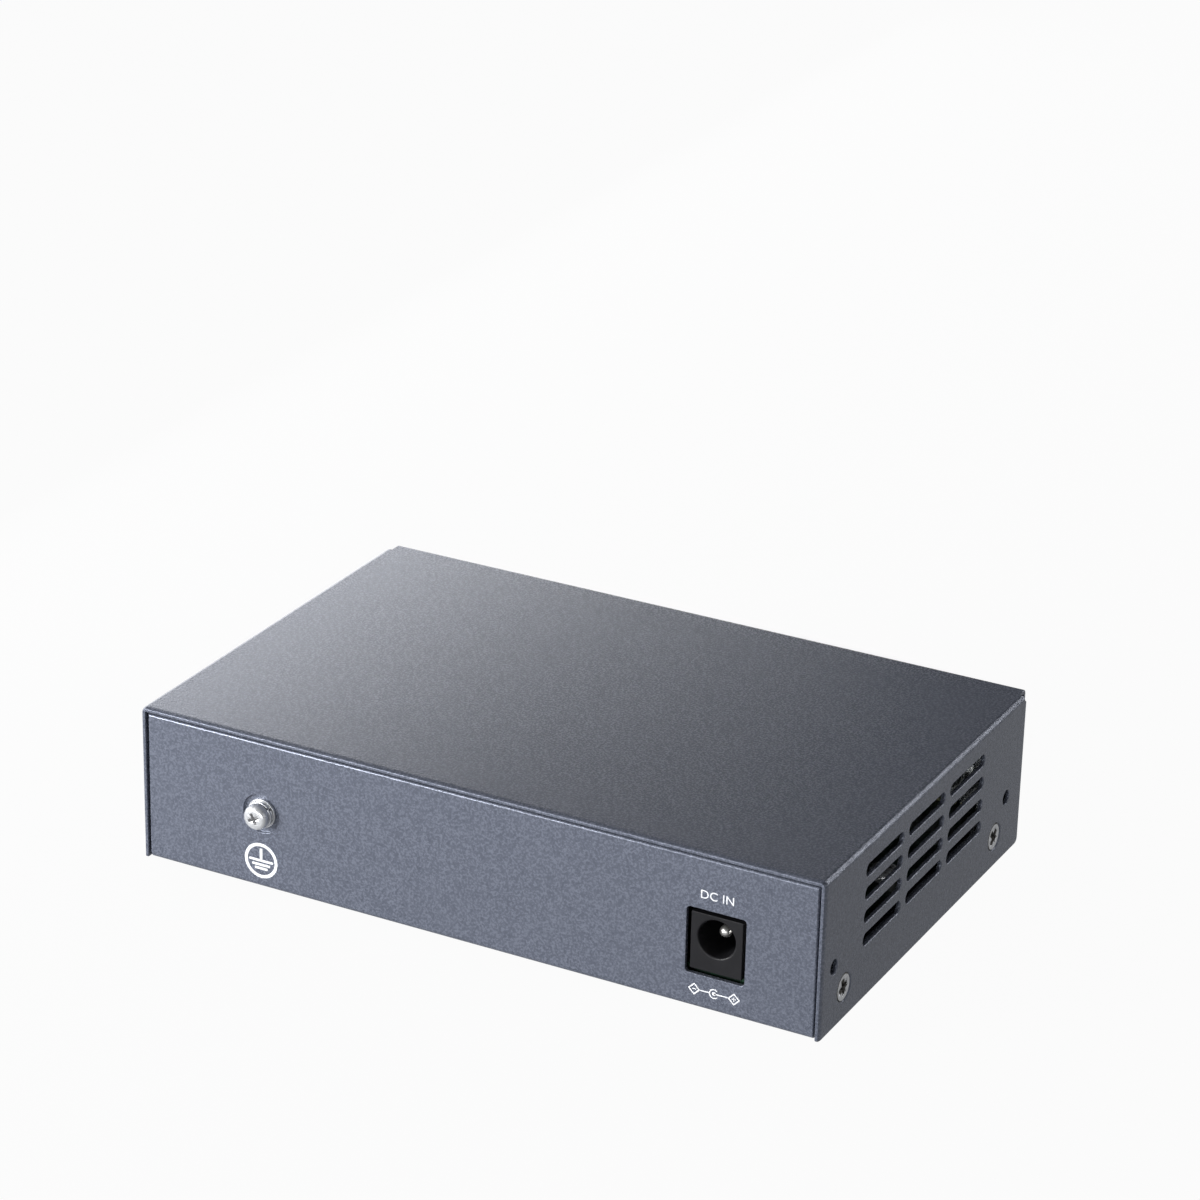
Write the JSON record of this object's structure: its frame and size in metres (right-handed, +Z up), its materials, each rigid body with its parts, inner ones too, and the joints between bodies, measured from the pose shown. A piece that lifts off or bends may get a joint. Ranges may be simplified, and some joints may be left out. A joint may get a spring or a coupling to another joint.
{
  "type": "ethernet switch",
  "caption": "Small desktop network switch in a folded steel case, with ganged jacks in front and a barrel power inlet and ground screw at the rear.",
  "frame": {"origin": "on the floor, under the middle of the whole switch, ground screw included", "axes": "+X along the ports to the right as seen from the front, +Y to the rear panel, +Z up"},
  "size_m": [0.122, 0.0828, 0.0282],
  "materials": {
    "case_paint": "slate grey fine-textured powder coat",
    "bright_zinc": "bright zinc plate",
    "foot_rubber": "matt",
    "board_laminate": "green solder resist",
    "jack_moulding": "fine moulded grain",
    "shield_plate": "tin plate",
    "contact_gold": "gold plate",
    "lamp_resin": "clear resin over a yellow chip",
    "guide_resin": "clear polycarbonate",
    "nickel_plate": "nickel plate",
    "package_resin": "moulded epoxy",
    "pad_silicone": "soft filled silicone",
    "sink_aluminium": "black anodised",
    "fuse_ceramic": "glazed white",
    "choke_ferrite": "dark ferrite",
    "can_aluminium": "drawn can, bright",
    "capacitor_ceramic": "fired ceramic",
    "resistor_glaze": "glazed black"
  },
  "bodies": {
    "root": {"cover": "case_paint", "base_tray": "case_paint", "cover_screws": "bright_zinc", "rubber_feet": "foot_rubber", "ground_screw": "bright_zinc", "ground_spring_washer": "bright_zinc", "ground_flat_washer": "bright_zinc", "board_standoffs": "bright_zinc", "board_screws": "bright_zinc", "circuit_board": "board_laminate", "rj45_quad_housing": "jack_moulding", "rj45_quad_shield": "shield_plate", "rj45_quad_contacts": "contact_gold", "rj45_pair_housing": "jack_moulding", "rj45_pair_shield": "shield_plate", "rj45_pair_contacts": "contact_gold", "indicator_lamps": "lamp_resin", "light_guide": "guide_resin", "dc_jack_body": "jack_moulding", "dc_jack_pin": "nickel_plate", "dc_jack_spring": "nickel_plate", "dc_jack_tabs": "nickel_plate", "port_transformers": "package_resin", "transformer_leads": "shield_plate", "switch_chip": "package_resin", "thermal_pad": "pad_silicone", "heat_sink": "sink_aluminium", "power_controller": "package_resin", "voltage_regulators": "package_resin", "memory_chip": "package_resin", "input_diode": "package_resin", "input_fuse": "fuse_ceramic", "power_inductors": "choke_ferrite", "electrolytic_capacitors": "can_aluminium", "crystal": "shield_plate", "chip_capacitors": "capacitor_ceramic", "chip_resistors": "resistor_glaze"}
  },
  "joints": []
}
